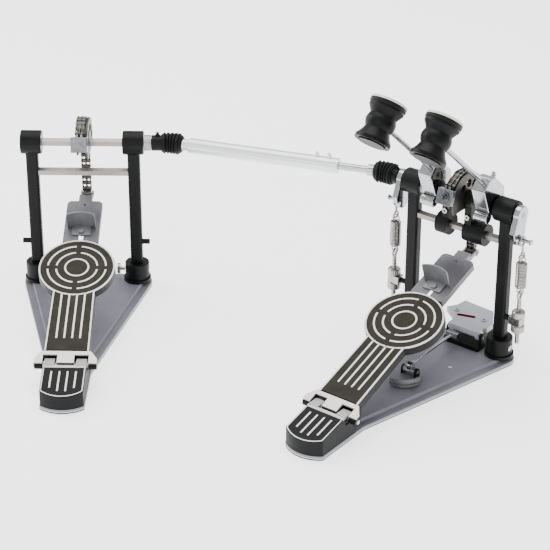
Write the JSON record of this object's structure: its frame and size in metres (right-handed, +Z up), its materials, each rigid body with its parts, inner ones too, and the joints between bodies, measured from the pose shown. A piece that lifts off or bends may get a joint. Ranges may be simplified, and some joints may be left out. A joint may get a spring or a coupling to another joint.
{
  "type": "double bass drum pedal",
  "caption": "Double bass drum pedal: main station with two beaters, slave station and jointed drive shaft, chain driven.",
  "frame": {"origin": "on the floor under the middle of the main station's axle, on the underside of the main base plate", "axes": "+X along the main axle away from the slave station, +Y towards the drum, +Z up"},
  "size_m": [0.6481, 0.4865, 0.3744],
  "materials": {
    "lavender_plate": "satin",
    "black_casting": "satin",
    "black_moulding": "matt",
    "bronze_steel": "brushed",
    "board_casting": "satin",
    "grip_sheet": "matt",
    "ivory_plate": "satin",
    "toe_steel": "satin",
    "chain_steel": "oiled",
    "sprocket_steel": "satin",
    "chrome": "polished",
    "nickel": "bright",
    "felt": "felted",
    "head_plastic": "gloss",
    "boot_rubber": "matt",
    "tube_aluminium": "anodised",
    "clamp_plate": "satin",
    "screw_steel": "bright"
  },
  "bodies": {
    "main_frame": {"main_base_plate": "lavender_plate", "main_heel_block": "black_moulding", "main_post_sockets": "black_casting", "main_posts": "black_casting", "main_tie_rod": "bronze_steel", "main_screws": "screw_steel", "center_arms": "black_casting", "clamp_base": "black_casting"},
    "clamp_jaw": {"clamp_jaw": "clamp_plate"},
    "clamp_rod": {"clamp_rod": "nickel"},
    "clamp_lever": {"clamp_lever": "toe_steel"},
    "main_treadle": {"main_footboard": "board_casting", "main_grip": "grip_sheet", "main_hinge_plate": "ivory_plate", "main_clevis": "toe_steel"},
    "main_toe_stop": {"main_toe_stop": "toe_steel"},
    "main_axle": {"main_axle": "bronze_steel", "main_sprocket": "sprocket_steel", "main_chain_wrap": "chain_steel", "main_chain_clamp": "chrome", "main_beater_hub": "chrome", "main_beater_rod": "chrome", "main_beater_head": "head_plastic", "main_beater_felt": "felt", "main_rocker": "chrome"},
    "main_chain": {"main_chain_run": "chain_steel"},
    "left_axle": {"left_axle": "bronze_steel", "left_beater_hub": "chrome", "left_beater_rod": "chrome", "left_beater_head": "head_plastic", "left_beater_felt": "felt", "left_rocker": "chrome", "main_yoke": "black_casting"},
    "main_spring_bolt": {"main_spring_bolt": "nickel", "main_spring": "nickel"},
    "main_spring_hook": {"main_spring_hook": "nickel"},
    "left_spring_bolt": {"left_spring_bolt": "nickel", "left_spring": "nickel"},
    "left_spring_hook": {"left_spring_hook": "nickel"},
    "shaft_elbow": {"main_boot": "boot_rubber"},
    "shaft_rod": {"shaft_rod": "chrome"},
    "shaft_slide": {"slave_boot": "boot_rubber"},
    "shaft_tube": {"shaft_tube": "tube_aluminium"},
    "slave_frame": {"slave_base_plate": "lavender_plate", "slave_heel_block": "black_moulding", "slave_post_sockets": "black_casting", "slave_posts": "black_casting", "slave_tie_rod": "bronze_steel", "slave_screws": "screw_steel"},
    "slave_treadle": {"slave_footboard": "board_casting", "slave_grip": "grip_sheet", "slave_hinge_plate": "ivory_plate", "slave_clevis": "toe_steel"},
    "slave_toe_stop": {"slave_toe_stop": "toe_steel"},
    "slave_axle": {"slave_axle": "bronze_steel", "slave_sprocket": "sprocket_steel", "slave_chain_wrap": "chain_steel", "slave_chain_clamp": "chrome", "slave_yoke": "black_casting"},
    "slave_chain": {"slave_chain_run": "chain_steel"}
  },
  "joints": [
    {"name": "main_treadle_hinge", "type": "hinge", "parent": "main_frame", "child": "main_treadle", "pos_m": [0, -0.265, 0.0305], "axis": [-1, 0, 0], "range_deg": [0, 3.93], "stiffness_Nm_per_rad": 20, "springref_deg": -5.73},
    {"name": "main_toe_stop_slide", "type": "slide", "parent": "main_treadle", "child": "main_toe_stop", "axis": [0, 0.9516, 0.3074], "range_m": [-0.008, 0.005]},
    {"name": "main_axle_spin", "type": "hinge", "parent": "main_frame", "child": "main_axle", "pos_m": [0, 0, 0.2073], "axis": [-1, 0, 0], "range_deg": [0, 45.05]},
    {"name": "main_chain_hinge", "type": "hinge", "parent": "main_axle", "child": "main_chain", "pos_m": [0, 0.03065, 0.2073], "axis": [-1, 0, 0], "range_deg": [-55, 0]},
    {"name": "slave_treadle_hinge", "type": "hinge", "parent": "slave_frame", "child": "slave_treadle", "pos_m": [-0.31543, -0.37703, 0.0305], "axis": [-0.8054, -0.5927, 0], "range_deg": [0, 3.93], "stiffness_Nm_per_rad": 20, "springref_deg": -5.73},
    {"name": "slave_toe_stop_slide", "type": "slide", "parent": "slave_treadle", "child": "slave_toe_stop", "axis": [-0.564, 0.7664, 0.3074], "range_m": [-0.008, 0.005]},
    {"name": "slave_axle_spin", "type": "hinge", "parent": "slave_frame", "child": "slave_axle", "pos_m": [-0.4725, -0.1636, 0.2073], "axis": [-0.8054, -0.5927, 0], "range_deg": [0, 45.05]},
    {"name": "slave_chain_hinge", "type": "hinge", "parent": "slave_axle", "child": "slave_chain", "pos_m": [-0.49066, -0.13892, 0.2073], "axis": [-0.8054, -0.5927, 0], "range_deg": [-55, 0]},
    {"name": "left_axle_spin", "type": "hinge", "parent": "main_frame", "child": "left_axle", "pos_m": [-0.066, 0, 0.2073], "axis": [-1, 0, 0], "range_deg": [0, 45.05]},
    {"name": "main_spring_swing", "type": "hinge", "parent": "main_frame", "child": "main_spring_bolt", "pos_m": [0.0915, -0.0027, 0.066], "axis": [1, 0, 0], "range_deg": [0, 9.86]},
    {"name": "main_spring_stretch", "type": "slide", "parent": "main_spring_bolt", "child": "main_spring_hook", "axis": [0, 0, 1], "range_m": [0, 0.0128], "deforming": ["main_spring"]},
    {"name": "left_spring_swing", "type": "hinge", "parent": "main_frame", "child": "left_spring_bolt", "pos_m": [-0.0915, -0.0027, 0.066], "axis": [1, 0, 0], "range_deg": [0, 9.86]},
    {"name": "left_spring_stretch", "type": "slide", "parent": "left_spring_bolt", "child": "left_spring_hook", "axis": [0, 0, 1], "range_m": [0, 0.0128], "deforming": ["left_spring"]},
    {"name": "shaft_swing", "type": "hinge", "parent": "main_frame", "child": "shaft_elbow", "pos_m": [-0.1102, 0, 0.2073], "axis": [0, 0, 1], "range_deg": [-10, 10], "deforming": ["main_boot"]},
    {"name": "shaft_rod_spin", "type": "hinge", "parent": "shaft_elbow", "child": "shaft_rod", "pos_m": [-0.1102, 0, 0.2073], "axis": [-0.943, -0.3329, 0], "range_deg": [0, 45.05]},
    {"name": "shaft_length", "type": "slide", "parent": "shaft_elbow", "child": "shaft_slide", "axis": [-0.943, -0.3329, 0], "range_m": [-0.03, 0.06]},
    {"name": "shaft_tube_spin", "type": "hinge", "parent": "shaft_slide", "child": "shaft_tube", "pos_m": [-0.37923, -0.09496, 0.2073], "axis": [-0.943, -0.3329, 0], "range_deg": [0, 45.05]},
    {"name": "slave_swing", "type": "hinge", "parent": "shaft_slide", "child": "slave_frame", "pos_m": [-0.37923, -0.09496, 0.2073], "axis": [0, 0, 1], "range_deg": [-10, 10], "deforming": ["slave_boot"]},
    {"name": "clamp_lever_hinge", "type": "hinge", "parent": "main_frame", "child": "clamp_lever", "pos_m": [0.0085, -0.112, 0.018], "axis": [-1, 0, 0], "range_deg": [0, 35]},
    {"name": "clamp_rod_slide", "type": "slide", "parent": "main_frame", "child": "clamp_rod", "axis": [0, 1, 0], "range_m": [0, 0.0041]},
    {"name": "clamp_jaw_hinge", "type": "hinge", "parent": "main_frame", "child": "clamp_jaw", "pos_m": [0.018, -0.002, 0.024], "axis": [1, 0, 0], "range_deg": [0, 5.05]}
  ],
  "couplings": [
    {"joint": "main_axle_spin", "follows": "main_treadle_hinge", "ratio": 11.441},
    {"joint": "main_chain_hinge", "follows": "main_treadle_hinge", "ratio": -13.831},
    {"joint": "slave_axle_spin", "follows": "slave_treadle_hinge", "ratio": 11.441},
    {"joint": "slave_chain_hinge", "follows": "slave_treadle_hinge", "ratio": -13.831},
    {"joint": "left_axle_spin", "follows": "slave_treadle_hinge", "ratio": 11.441},
    {"joint": "main_spring_swing", "follows": "main_treadle_hinge", "ratio": 2.5011},
    {"joint": "main_spring_stretch", "follows": "main_treadle_hinge", "m_per_rad": 0.18598},
    {"joint": "left_spring_swing", "follows": "slave_treadle_hinge", "ratio": 2.5011},
    {"joint": "left_spring_stretch", "follows": "slave_treadle_hinge", "m_per_rad": 0.18598},
    {"joint": "shaft_rod_spin", "follows": "slave_treadle_hinge", "ratio": 11.441},
    {"joint": "shaft_tube_spin", "follows": "slave_treadle_hinge", "ratio": 11.441},
    {"joint": "clamp_rod_slide", "follows": "clamp_lever_hinge", "m_per_rad": 0.006548},
    {"joint": "clamp_jaw_hinge", "follows": "clamp_lever_hinge", "ratio": 0.14286}
  ]
}
